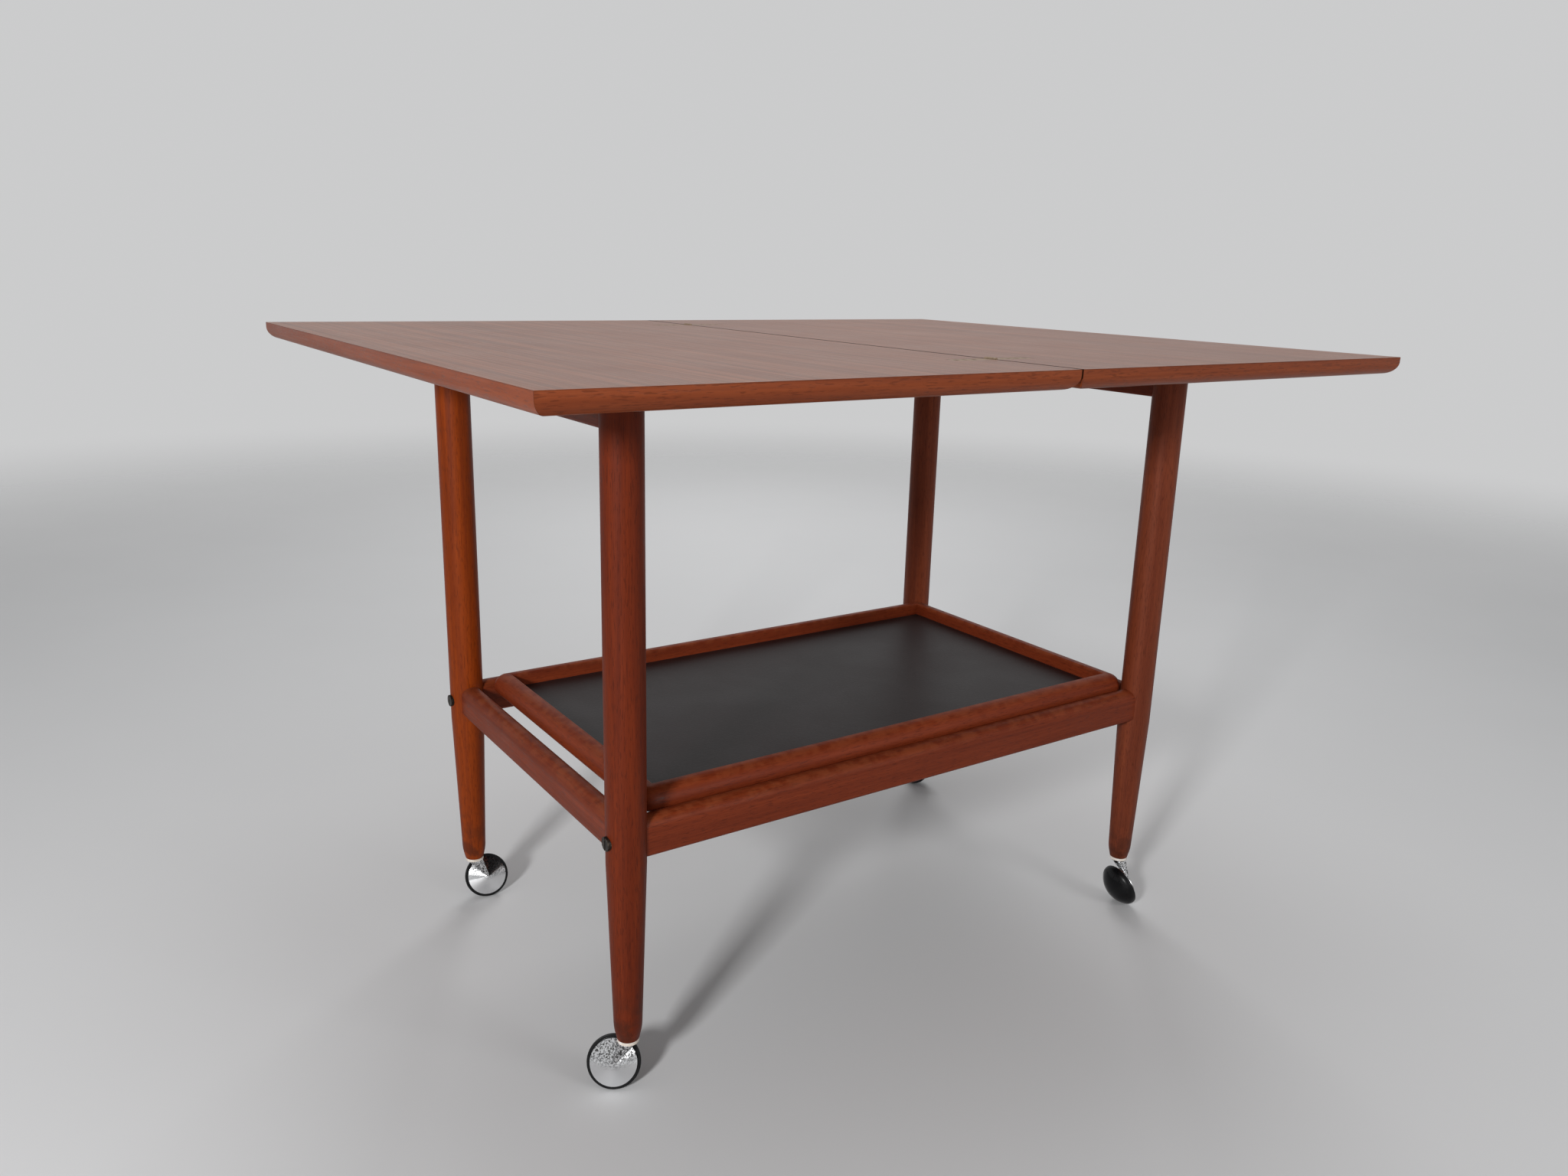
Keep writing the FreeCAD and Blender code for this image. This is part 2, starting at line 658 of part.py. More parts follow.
def hinge_recesses(side):
    """What is cut out of a leaf for its hinges: the plates' beds, the knuckles' room, the screws."""
    tools = []
    bed_depth = "(hinge_plate_thickness + hinge_plate_sink + fit_gap)"
    bed_width = "hinge_plate_width + 2 * fit_gap"
    for end in HINGE_ENDS:
        bed_middle = (f"{side} * hinge_plate_length / 2", hinge_middle(end),
                      f"top_height + (cut_overrun - {bed_depth}) / 2")
        tools.append(block(bed_middle, ("hinge_plate_length + 2 * fit_gap", bed_width,
                                        f"{bed_depth} + cut_overrun")))
        tools.append(hinge_rod(end, f"{KNUCKLE_ROOM} + 2 * knuckle_gap", bed_width))
        tools += hinge_screws(side, end, SCREW_HOLE)
    return tools


for name, side in LEAVES.items():
    group([hinge_plate(side, end) for end in HINGE_ENDS], f"hinge_plates_{name}")
    screws = []
    for end in HINGE_ENDS:
        for plain, slot in zip(hinge_screws(side, end), hinge_slots(side, end)):
            screws.append(cut(plain, slot))
    group(screws, f"hinge_screws_{name}")
group([hinge_rod(end, "hinge_pin_dia", "hinge_plate_width") for end in HINGE_ENDS], "hinge_pins")

# Leaves: a veneered board inside four mitred lippings, rounded underneath on every side
LEAF_ROUND = "min(leaf_edge_radius; leaf_thickness * leaf_rounding_share)"
for name, side in LEAVES.items():
    middle = (f"{side} * {LEAF_MIDDLE}", "0", "top_height - leaf_thickness / 2")
    whole = block(middle, ("leaf_width", "leaf_length", "leaf_thickness"))
    whole = fillet(whole, LEAF_ROUND, at_height(LEAF_BOTTOM))
    recesses = hinge_recesses(side)
    board_spans = ("leaf_width - 2 * lipping_width", "leaf_length - 2 * lipping_width", "leaf_thickness")
    board = cut(overlap(whole, block(middle, board_spans)), *recesses)
    if name == "fixed":
        board = cut(board, *pivot_screw_holes)
    finish(board, f"{name}_leaf_panel")
    front, right, back, left = mitred(whole, middle, ("leaf_width", "leaf_length"), "lipping_width",
                                      (LEAF_BOTTOM, "top_height"))
    if side < 0:
        right = cut(right, *recesses)
    else:
        left = cut(left, *recesses)
    group([front, right, back, left], f"{name}_leaf_lipping")

# Tray: rounded bars, mitred at the corners, grooved for a laminated panel
TRAY_X = "(frame_offset + tray_shift_x)"
TRAY_Y = "tray_shift_y"
TRAY_SPANS = ("(leg_span_x - 2 * tray_inset_x)", "(leg_span_y - 2 * tray_inset_y)")
TRAY_MIDDLE = f"({TRAY_TOP} - tray_bar_height / 2)"
TRAY_CORNER = "min(tray_corner_radius; tray_bar_width * rim_rounding_share)"
TRAY_ROUND = f"min(tray_top_radius; tray_bar_height * tray_top_share; {TRAY_CORNER} * tray_corner_share)"
TRAY_UNDER = "min(tray_bottom_radius; tray_bar_height * tray_under_share)"
rim = block((TRAY_X, TRAY_Y, TRAY_MIDDLE), (*TRAY_SPANS, "tray_bar_height"))
rim = fillet(rim, TRAY_CORNER, along("z"))
rim = fillet(rim, TRAY_ROUND, at_height(TRAY_TOP))
rim = fillet(rim, TRAY_UNDER, at_height(TRAY_BOTTOM))
inside_spans = [f"({span} - 2 * tray_bar_width)" for span in TRAY_SPANS]
inside = block((TRAY_X, TRAY_Y, TRAY_MIDDLE), (*inside_spans, "2 * tray_bar_height"))


def tray_inner_edge(edge):
    """Picks the upper edges of the bars that face the inside of the tray."""
    middle = edge.BoundBox.Center
    slack = size("fit_gap")
    reach_x, reach_y = [size(span) / 2 + slack for span in inside_spans]
    within = abs(middle.x - size(TRAY_X)) < reach_x and abs(middle.y - size(TRAY_Y)) < reach_y
    return within and at_height(TRAY_TOP)(edge)


panel_middle = (TRAY_X, TRAY_Y, f"{PANEL_BOTTOM} + tray_panel_thickness / 2")
panel_spans = [f"{span} - 2 * joint_gap" for span in inside_spans] + ["tray_panel_thickness"]
tongue_spans = [f"{span} + 2 * tray_groove_depth" for span in inside_spans] + ["tray_tongue_thickness"]
groove = block(panel_middle, [f"{span} + 2 * fit_gap" for span in tongue_spans])
rim = fillet(cut(rim, inside), "tray_inner_radius", tray_inner_edge)
bars = mitred(cut(rim, groove), (TRAY_X, TRAY_Y), TRAY_SPANS, "tray_bar_width", (TRAY_BOTTOM, TRAY_TOP))
for bar, name in zip(bars, ("front", "right", "back", "left")):
    finish(bar, f"tray_bar_{name}")
finish(join(block(panel_middle, panel_spans), block(panel_middle, tongue_spans)), "tray_panel")


def dome_radius():
    """Radius of the ball that the wheel's dome is part of, tangent to the rounded shoulder."""
    shoulder = size("wheel_shoulder_radius")
    across = size("wheel_dia / 2 - wheel_shoulder_radius")
    depth = size("wheel_dome_depth - wheel_rim_width")
    return (across ** 2 + depth ** 2 - shoulder ** 2) / (2 * (depth - shoulder))


def wheel_height():
    """Height of the middle of the wheel's face when its shoulder stands on the floor."""
    tilt = math.radians(size("axle_tilt"))
    shoulder = size("wheel_shoulder_radius")
    across = size("wheel_dia / 2 - wheel_shoulder_radius")
    return across * math.cos(tilt) + size("wheel_rim_width") * math.sin(tilt) + shoulder


def caster(name, corner):
    """One caster: the hood turns on its stem and the wheel turns on its tilted axle.

    Places along the axle are measured from the wheel's flat face towards the hood's point.
    """
    x, y = leg_axis(corner)
    yaw = math.radians(corner["yaw"])
    tilt = math.radians(size("axle_tilt"))
    facing = FreeCAD.Vector(math.cos(yaw), math.sin(yaw), 0)
    rolling = FreeCAD.Vector(-math.sin(yaw), math.cos(yaw), 0)
    axle_way = facing * math.cos(tilt) + FreeCAD.Vector(0, 0, math.sin(tilt))
    centre = FreeCAD.Vector(size(x), size(y), wheel_height())
    centre += rolling * (corner["hand"] * size("caster_trail")) - facing * size("caster_setback")
    tilted = FreeCAD.Rotation(FreeCAD.Vector(0, 0, 1), axle_way)

    def on_axle(kind, sizes, start):
        piece = doc.addObject("Part::" + kind, kind)
        for label, text in sizes.items():
            piece.setExpression(label, formula(text))
        piece.Placement = FreeCAD.Placement(centre + axle_way * start, tilted)
        return piece

    def disc(dia, start, end):
        return on_axle("Cylinder", {"Radius": f"({dia}) / 2", "Height": f"({end}) - ({start})"}, size(start))

    def cone(start_dia, end_dia, start, end):
        sizes = {"Radius1": f"({start_dia}) / 2", "Radius2": f"({end_dia}) / 2"}
        sizes["Height"] = f"({end}) - ({start})"
        return on_axle("Cone", sizes, size(start))

    def rim_edge(keep):
        """Picks the wheel's full circles, those that keep() wants by their place on the axle."""
        length = size("wheel_dia") * math.pi
        slack = size("fit_gap")
        def chosen(edge):
            place = (edge.CenterOfMass - centre).dot(axle_way)
            return abs(edge.Length - length) < slack and keep(place + slack)
        return chosen

    ball = doc.addObject("Part::Sphere", "Sphere")
    ball.Radius = dome_radius()
    ball_place = dome_radius() - size("wheel_dome_depth")
    ball.Placement = FreeCAD.Placement(centre + axle_way * ball_place, tilted)
    dome = overlap(ball, disc("wheel_dia", "-2 * wheel_dome_depth", "0"))
    dome = fillet(dome, "wheel_shoulder_radius", rim_edge(lambda place: place < 0))
    front_round = "min(tyre_edge_radius; wheel_rim_width * rim_rounding_share)"
    dome = fillet(dome, front_round, rim_edge(lambda place: place > 0))
    core = disc("wheel_dia - 2 * tyre_band", "-2 * wheel_dome_depth", "cut_overrun")
    bore = disc("axle_dia + 2 * run_gap", "-(axle_in_wheel + run_gap)", "cut_overrun")
    finish(cut(overlap(dome, core), bore), f"caster_wheel_{name}")
    finish(cut(dome, core), f"caster_tyre_{name}")

    lip_end = "(hood_gap + hood_lip)"
    outside = join(disc("hood_dia", "hood_gap", lip_end),
                   cone("hood_dia", "hood_tip_dia", lip_end, "hood_height"))
    hollow_dia = "hood_dia - 2 * hood_wall"
    hollow = join(disc(hollow_dia, "0", lip_end),
                  cone(hollow_dia, "hood_tip_dia", lip_end, "hood_height - hood_wall"))
    boss = disc("hood_boss_dia", "hood_gap", "hood_height")
    ridge_end = centre + axle_way * size("hood_height - ridge_end_inset")
    turned = FreeCAD.Rotation(FreeCAD.Vector(0, 0, 1), corner["yaw"])
    rings = []
    neck_top = FreeCAD.Vector(size(x), size(y), size(NECK_TOP))
    for place, dia in ((neck_top, "neck_dia"), (ridge_end, "ridge_end_dia")):
        ring = doc.addObject("Part::Circle", "Circle")
        ring.setExpression("Radius", formula(f"{dia} / 2"))
        ring.Placement = FreeCAD.Placement(place, turned)
        rings.append(ring)
    ridge = doc.addObject("Part::Loft", "Loft")
    ridge.Sections = rings
    ridge.Solid = True
    ridge.Ruled = True
    axle_hole = disc("axle_dia + 2 * fit_gap", "0", "axle_in_hood + fit_gap")
    stem_length = "(stem_in_neck + glide_gap + socket_flange_height + stem_in_leg)"
    stem_middle = f"{NECK_TOP} - stem_in_neck + {stem_length} / 2"
    stem_hole = rod("z", (x, y, stem_middle), "stem_dia + 2 * fit_gap", f"{stem_length} + 2 * fit_gap")
    finish(cut(join(outside, ridge), cut(hollow, boss), axle_hole, stem_hole), f"caster_hood_{name}")
    finish(rod("z", (x, y, stem_middle), "stem_dia", stem_length), f"caster_stem_{name}")
    finish(disc("axle_dia", "-axle_in_wheel", "axle_in_hood"), f"caster_axle_{name}")
    return centre, axle_way


for name, corner in CASTERS.items():
    centre, axle_way = caster(name, corner)
    print(name, "wheel centre", [round(c, 4) for c in centre], "axle", [round(c, 6) for c in axle_way])

doc.recompute()
failed = [item.Label for item in doc.Objects if {"Invalid", "Error"} & set(item.State)]
if failed:
    raise RuntimeError(f"these objects failed to build: {failed}")
for part in parts:
    if part.Shape.isNull() or not part.Shape.isValid() or not part.Shape.Solids:
        raise RuntimeError(f"{part.Label} has no sound shape")
os.makedirs("parts", exist_ok=True)
for part in parts:
    part.Shape.exportStep(f"parts/{part.Label}.step")
print(f"{len(parts)} sub-parts written")
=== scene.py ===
import math

import bpy
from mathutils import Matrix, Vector


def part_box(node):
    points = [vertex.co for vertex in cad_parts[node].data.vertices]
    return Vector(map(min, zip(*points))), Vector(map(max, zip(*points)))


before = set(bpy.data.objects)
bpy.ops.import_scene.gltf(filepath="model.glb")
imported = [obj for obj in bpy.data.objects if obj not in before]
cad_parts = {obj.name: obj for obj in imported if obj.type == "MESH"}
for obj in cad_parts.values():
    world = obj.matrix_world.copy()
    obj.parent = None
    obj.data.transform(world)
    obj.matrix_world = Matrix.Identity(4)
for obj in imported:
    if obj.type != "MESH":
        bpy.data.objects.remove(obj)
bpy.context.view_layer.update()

# Legs: four turned teak legs, straight down to the stretchers, tapered below them and drawn in
# at the tip. The grain runs down each leg, and each leg has tones of its own: partly the tone of
# its own plank, partly painted light, as the two right-hand legs are made greyer and bluer for
# painted shade and sheen and the back left leg warmer for painted warm light. The oiled wood has
# a satin shine; the tips are scuffed by shoes and brooms.
LEG_PALE = (0.230, 0.0375, 0.0090)
LEG_DEEP = (0.125, 0.0175, 0.0042)
LEG_PLANK_AND_LIGHT_TONES = {
    "front_left": (0.72, 0.62, 0.45),
    "front_right": (0.95, 1.28, 2.00),
    "back_left": (1.24, 1.20, 0.25),
    "back_right": (1.08, 1.45, 2.20),
}
CORNERS = tuple(LEG_PLANK_AND_LIGHT_TONES)
LEG_SHINE = 0.45
FOOT_GRIME = (0.035, 0.010, 0.005, 1.0)
GRIME_TOP = 0.130
GRIME_FULL = 0.056
GRIME_AMOUNT = 0.6


def start_finish(name):
    """A new finish, its node tree and the shader that everything else feeds."""
    finish = bpy.data.materials.new(name)
    finish.use_nodes = True
    return finish, finish.node_tree, finish.node_tree.nodes["Principled BSDF"]


def feed(tree, node, inputs):
    """Sets a node's inputs, or joins them to other nodes' outputs."""
    for name, value in inputs.items():
        if isinstance(value, bpy.types.NodeSocket):
            tree.links.new(value, node.inputs[name])
        else:
            node.inputs[name].default_value = value


def add(tree, kind, inputs=None, **settings):
    """One node, with its settings and its inputs."""
    node = tree.nodes.new("ShaderNode" + kind)
    for name, value in settings.items():
        setattr(node, name, value)
    feed(tree, node, inputs or {})
    return node


def here(tree):
    """The place on the piece, in metres, which moves with the piece."""
    return add(tree, "TexCoord").outputs["Object"]


def split(tree, place):
    """The X, Y and Z of a place or a direction."""
    return add(tree, "SeparateXYZ", {"Vector": place}).outputs


def noise(tree, place, scale, detail=3.0, roughness=0.55, distortion=0.0):
    """Clouds with about scale clumps to each unit of place, mostly from 0.3 to 0.7."""
    inputs = {"Vector": place, "Scale": scale, "Detail": detail, "Roughness": roughness}
    return add(tree, "TexNoise", {**inputs, "Distortion": distortion}).outputs["Fac"]


def fade(tree, value, start, end, low=0.0, high=1.0):
    """Goes smoothly from low to high while value goes from start to end."""
    inputs = {"Value": value, "From Min": start, "From Max": end, "To Min": low, "To Max": high}
    return add(tree, "MapRange", inputs, interpolation_type="SMOOTHSTEP").outputs["Result"]


def reckon(tree, operation, first, second=0.0):
    """A sum on two numbers."""
    return add(tree, "Math", {0: first, 1: second}, operation=operation).outputs["Value"]


def mix(tree, share, first, second):
    """A colour from first to second. The node repeats its sockets' names, so they go by number."""
    return add(tree, "Mix", {0: share, 6: first, 7: second}, data_type="RGBA").outputs[2]


def shade(tree, amount, stops):
    """A colour picked along a row of (place, colour) stops."""
    ramp = add(tree, "ValToRGB", {"Fac": amount})
    row = ramp.color_ramp.elements
    while len(row) < len(stops):
        row.new(1.0)
    for stop, (place, colour) in zip(row, stops):
        stop.position = place
        stop.color = colour
    return ramp.outputs["Color"]


def bumped(tree, height, strength, depth):
    """How a fine relief, depth metres deep, turns the light."""
    return add(tree, "Bump", {"Height": height, "Strength": strength, "Distance": depth}).outputs["Normal"]


def toned(colour, tones):
    """A colour made deeper, paler or warmer, by a tone for each of red, green and blue."""
    return [part * tone for part, tone in zip(colour, tones)] + [1.0]


STREAKS_ACROSS = 85.0
STREAKS_ALONG = 2.6
STREAK_SPREAD = 0.20
FIBRES_IN_STREAK = 7.0
FIBRE_RANGE = (0.38, 0.66)
FIBRE_AMOUNT = 0.40
PORES_IN_STREAK = 13.0
PORES_ALONG = 3.0
PORE_RANGE = (0.57, 0.66)
PORE_AMOUNT = 0.45
PORE_TONES = (0.45, 0.45, 0.45)
PORE_SINK = 0.8


def grain(tree, place, along, pale, deep, across=STREAKS_ACROSS, down=STREAKS_ALONG, spread=STREAK_SPREAD):
    """Colour and relief of wood: broad streaks, fine fibres and short dark pores along one axis."""
    stretch = [down if axis == along else across for axis in "xyz"]
    run = add(tree, "Mapping", {"Vector": place, "Scale": stretch}).outputs["Vector"]
    short = [PORES_ALONG * down if axis == along else across for axis in "xyz"]
    dashes = add(tree, "Mapping", {"Vector": place, "Scale": short}).outputs["Vector"]
    streaks = noise(tree, run, 1.0, detail=5.0, roughness=0.62, distortion=0.7)
    fibres = noise(tree, run, FIBRES_IN_STREAK, detail=3.0, roughness=0.65)
    pores = fade(tree, noise(tree, dashes, PORES_IN_STREAK, detail=1.0), *PORE_RANGE)
    middle_tone = [(a + b) / 2 for a, b in zip(pale, deep)]
    colour = shade(tree, streaks, [(0.5 - spread, deep), (0.5, middle_tone), (0.5 + spread, pale)])
    colour = mix(tree, fade(tree, fibres, *FIBRE_RANGE, 0.0, FIBRE_AMOUNT), colour, deep)
    colour = mix(tree, reckon(tree, "MULTIPLY", pores, PORE_AMOUNT), colour, toned(deep, PORE_TONES))
    relief = reckon(tree, "SUBTRACT", fibres, reckon(tree, "MULTIPLY", pores, PORE_SINK))
    return colour, relief


NOISE_RANGE = (0.3, 0.7)
OIL_PATCHES_PER_METRE = 9.0
OIL_UNEVEN = 0.05
FIBRE_ROUGH = 0.10
WOOD_FILM = 0.14
WOOD_BUMP = 0.22
WOOD_DEPTH = 0.0003


def finish_wood(tree, shader, place, colour, relief, shine, film=WOOD_FILM, uneven=OIL_UNEVEN):
    """Joins a wood's colour and relief to its shader, with an oiled film that is uneven to the touch."""
    patches = noise(tree, place, OIL_PATCHES_PER_METRE, detail=4.0)
    oiled = fade(tree, patches, *NOISE_RANGE, shine - uneven, shine + uneven)
    feed(tree, shader, {
        "Base Color": colour,
        "Roughness": reckon(tree, "ADD", oiled, reckon(tree, "MULTIPLY", relief, FIBRE_ROUGH)),
        "Normal": bumped(tree, relief, WOOD_BUMP, WOOD_DEPTH),
        "Specular IOR Level": film,
    })


WEAR_AND_HIGHLIGHT_PATCHES_PER_METRE = 70.0
WEAR_AND_HIGHLIGHT_RANGE = (0.38, 0.62)


def wood(name, along, pale, deep, shine, wear_and_highlight=None):
    """A wood finish, with an optional band given as the heights where it starts and is full, its colour and
    its amount: real grime on the leg tips, rubbing and a painted highlight on the upper edges of stretchers
    and tray bars.
    """
    finish, tree, shader = start_finish(name)
    place = here(tree)
    colour, relief = grain(tree, place, along, pale, deep)
    if wear_and_highlight:
        start, full, worn, amount = wear_and_highlight
        patch = fade(tree, noise(tree, place, WEAR_AND_HIGHLIGHT_PATCHES_PER_METRE, detail=5.0), *WEAR_AND_HIGHLIGHT_RANGE)
        reach = fade(tree, split(tree, place)["Z"], start, full, 0.0, amount)
        # The band's colour is real grime on the leg tips, and rubbing with a painted highlight on the tops
        # of stretchers and tray bars.
        colour = mix(tree, reckon(tree, "MULTIPLY", reach, patch), colour, worn)
    finish_wood(tree, shader, place, colour, relief, shine)
    return finish


def dress(finish, *names):
    """Gives a finish to solids that keep their own shape."""
    for name in names:
        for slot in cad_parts[name].material_slots:
            slot.material = finish


scuffed_tip = (GRIME_TOP, GRIME_FULL, FOOT_GRIME, GRIME_AMOUNT)
# Each leg's tones are partly plank colour and partly painted light: painted shade and sheen on the
# right-hand legs, painted warm light on the back left leg.
for corner, tones in LEG_PLANK_AND_LIGHT_TONES.items():
    pale = toned(LEG_PALE, tones)
    deep = toned(LEG_DEEP, tones)
    dress(wood(f"leg_teak_{corner}", "z", pale, deep, LEG_SHINE, scuffed_tip), f"leg_{corner}")

# End rails and stretchers: teak bars between the legs, doweled at the ends and bolted along the
# sides. The rounded upper edges of the stretchers are painted paler and more orange: partly
# rubbing, partly a painted highlight where light falls on the rounding.
BAR_PALE = (0.204, 0.0338, 0.0095, 1.0)
BAR_DEEP = (0.110, 0.0162, 0.0047, 1.0)
BAR_RUBBED_AND_LIT = (0.290, 0.075, 0.028, 1.0)
BAR_SHINE = 0.43
BAR_RUB_AND_HIGHLIGHT_START = 0.262
BAR_RUB_AND_HIGHLIGHT_FULL = 0.271
RUB_AND_HIGHLIGHT_AMOUNT = 0.4
# The stretchers' paler upper band is rubbing together with a painted highlight.
rubbed_and_lit_top = (BAR_RUB_AND_HIGHLIGHT_START, BAR_RUB_AND_HIGHLIGHT_FULL, BAR_RUBBED_AND_LIT, RUB_AND_HIGHLIGHT_AMOUNT)
rail_teak = wood("end_rail_teak", "y", BAR_PALE, BAR_DEEP, BAR_SHINE)
short_teak = wood("short_stretcher_teak", "y", BAR_PALE, BAR_DEEP, BAR_SHINE, rubbed_and_lit_top)
long_teak = wood("long_stretcher_teak", "x", BAR_PALE, BAR_DEEP, BAR_SHINE, rubbed_and_lit_top)
dress(rail_teak, "end_rail_left", "end_rail_right")
dress(short_teak, "short_stretcher_left", "short_stretcher_right")
dress(long_teak, "long_stretcher_front", "long_stretcher_back")

# Bearers, ledges and dowels: plain planed beech, out of sight under the top and behind the
# stretchers, where teak would be wasted.
BEECH_PALE = (0.520, 0.330, 0.190, 1.0)
BEECH_DEEP = (0.360, 0.200, 0.105, 1.0)
BEECH_SHINE = 0.55
beech = wood("planed_beech", "x", BEECH_PALE, BEECH_DEEP, BEECH_SHINE)
dress(beech, "bearer_front", "bearer_back", "tray_ledge_front", "tray_ledge_back", "frame_dowels")

# Stretcher bolts: slotted steel heads, bronzed dark, one through each leg into the end of a
# long stretcher. The bronzing is scuffed through to paler metal in spots.
BRONZED = (0.030, 0.024, 0.020, 1.0)
WORN_BRONZE = (0.120, 0.090, 0.065, 1.0)
BRONZE_METAL = 0.85
BRONZE_ROUGH = (0.46, 0.30)
SCUFFS_PER_METRE = 420.0
SCUFF_RANGE = (0.52, 0.70)


def between(tree, share, low, high):
    """Goes smoothly from low to high while share goes from nothing to one."""
    return fade(tree, share, 0.0, 1.0, low, high)


bronzed_steel, tree, shader = start_finish("bronzed_steel")
scuffs = fade(tree, noise(tree, here(tree), SCUFFS_PER_METRE, detail=5.0), *SCUFF_RANGE)
feed(tree, shader, {
    "Base Color": mix(tree, scuffs, BRONZED, WORN_BRONZE),
    "Roughness": between(tree, scuffs, *BRONZE_ROUGH),
    "Metallic": BRONZE_METAL,
})
dress(bronzed_steel, "stretcher_bolts")

# Plain fittings: zinc plated steel for the barrel nuts, screws, caster stems and axles, and for
# the plate, washer and nut of the swivel under the fixed leaf. The zinc has a dull bloom.
ZINC_PALE = (0.62, 0.62, 0.61, 1.0)
ZINC_DULL = (0.36, 0.36, 0.35, 1.0)
ZINC_STOPS = [(0.35, ZINC_DULL), (0.65, ZINC_PALE)]
ZINC_ROUGH = (0.45, 0.26)
BLOOM_PER_METRE = 160.0
zinc_steel, tree, shader = start_finish("zinc_steel")
bloom = noise(tree, here(tree), BLOOM_PER_METRE, detail=6.0, roughness=0.6)
feed(tree, shader, {
    "Base Color": shade(tree, bloom, ZINC_STOPS),
    "Roughness": fade(tree, bloom, *NOISE_RANGE, *ZINC_ROUGH),
    "Metallic": 1.0,
})
dress(zinc_steel, "barrel_nuts", "ledge_screws", "pivot_plate", "pivot_screws", "pivot_washer", "pivot_nut")
dress(zinc_steel, *[f"caster_{piece}_{corner}" for piece in ("stem", "axle") for corner in CORNERS])

# Felt: thin green strips glued on the end rails, and a ring round the swivel, so the top slides
# without scratching. The fibres lie every way and catch the light softly.
FELT_PALE = (0.085, 0.130, 0.075, 1.0)
FELT_DEEP = (0.035, 0.060, 0.034, 1.0)
FELT_STOPS = [(0.35, FELT_DEEP), (0.65, FELT_PALE)]
FELT_ROUGH = 0.95
FELT_SHEEN = 0.4
FELT_BUMP = 0.5
FELT_DEPTH = 0.0004
FLUFF_PER_METRE = 900.0
green_felt, tree, shader = start_finish("green_felt")
fluff = noise(tree, here(tree), FLUFF_PER_METRE, detail=6.0, roughness=0.7, distortion=1.5)
feed(tree, shader, {
    "Base Color": shade(tree, fluff, FELT_STOPS),
    "Normal": bumped(tree, fluff, FELT_BUMP, FELT_DEPTH),
    "Roughness": FELT_ROUGH,
    "Sheen Weight": FELT_SHEEN,
})
dress(green_felt, "glide_strips", "pivot_glide_ring")

# Caster sockets: moulded nylon sleeves pressed into the legs, with a white flange that shows as
# a collar under each tip. The white has yellowed in patches and lets a little light through.
NYLON_WHITE = (0.860, 0.800, 0.740, 1.0)
NYLON_AGED = (0.640, 0.550, 0.460, 1.0)
NYLON_STOPS = [(0.35, NYLON_AGED), (0.62, NYLON_WHITE)]
NYLON_ROUGH = (0.58, 0.42)
NYLON_GLOW = 0.12
GLOW_REACH = (0.002, 0.0014, 0.001)
AGE_PER_METRE = 130.0
white_nylon, tree, shader = start_finish("white_nylon")
age = noise(tree, here(tree), AGE_PER_METRE, detail=5.0)
feed(tree, shader, {
    "Base Color": shade(tree, age, NYLON_STOPS),
    "Roughness": fade(tree, age, *NOISE_RANGE, *NYLON_ROUGH),
    "Subsurface Weight": NYLON_GLOW,
    "Subsurface Radius": GLOW_REACH,
    "Subsurface Scale": 1.0,
})
dress(white_nylon, "caster_sockets")

# Caster hoods: pressed steel cones with a ridge that runs from the point up to the neck round
# the stem, polished and chrome plated. The upper half, where dust and damp settle, is pitted.
CHROME = (0.780, 0.785, 0.795, 1.0)
CHROME_PIT = (0.050, 0.049, 0.048, 1.0)
CHROME_ROUGH = (0.06, 0.12)
HAZE_PER_METRE = 90.0
PITTED_HEIGHT = (0.022, 0.034)
SPECKS_PER_METRE = 620.0
PIT_RANGE = (0.47, 0.55)
PIT_ROUGH = 0.25
PIT_BUMP = 0.30
PIT_DEPTH = 0.0004
chrome, tree, shader = start_finish("polished_chrome")
place = here(tree)
upper_half = fade(tree, split(tree, place)["Z"], *PITTED_HEIGHT)
specks = noise(tree, place, SPECKS_PER_METRE, detail=5.0, roughness=0.7)
pits = reckon(tree, "MULTIPLY", fade(tree, specks, *PIT_RANGE), upper_half)
haze = noise(tree, place, HAZE_PER_METRE, detail=5.0)
hazy = fade(tree, haze, *NOISE_RANGE, *CHROME_ROUGH)
feed(tree, shader, {
    "Base Color": mix(tree, pits, CHROME, CHROME_PIT),
    "Roughness": reckon(tree, "ADD", hazy, reckon(tree, "MULTIPLY", pits, PIT_ROUGH)),
    "Normal": bumped(tree, reckon(tree, "MULTIPLY", specks, upper_half), PIT_BUMP, PIT_DEPTH),
    "Metallic": 1.0,
})
dress(chrome, *[f"caster_hood_{corner}" for corner in CORNERS])

# Wheels and tyres: a domed black plastic wheel, moulded to a gloss, with a smooth black rubber
# tyre round its rim, both turning on a tilted axle. Floor dust dulls the tyre.
WHEEL_BLACK = (0.0035, 0.0035, 0.004, 1.0)
FLOOR_DUST = (0.080, 0.077, 0.074, 1.0)
BLACK_FILM = 0.18
DUST_PER_METRE = 210.0
DUST_RANGE = (0.45, 0.80)
DULL_RANGE = (0.30, 0.75)
DULLED = 1.3
TEXTURE_PER_METRE = 1500.0
TEXTURE_DEPTH = 0.0002


def black(name, shine, dust, texture):
    """Black plastic or rubber with a film of dust and a fine texture."""
    finish, tree, shader = start_finish(name)
    place = here(tree)
    film = noise(tree, place, DUST_PER_METRE, detail=6.0, roughness=0.65)
    feed(tree, shader, {
        "Base Color": mix(tree, fade(tree, film, *DUST_RANGE, 0.0, dust), WHEEL_BLACK, FLOOR_DUST),
        "Roughness": fade(tree, film, *DULL_RANGE, shine, DULLED * shine),
        "Normal": bumped(tree, noise(tree, place, TEXTURE_PER_METRE), texture, TEXTURE_DEPTH),
        "Specular IOR Level": BLACK_FILM,
    })
    return finish


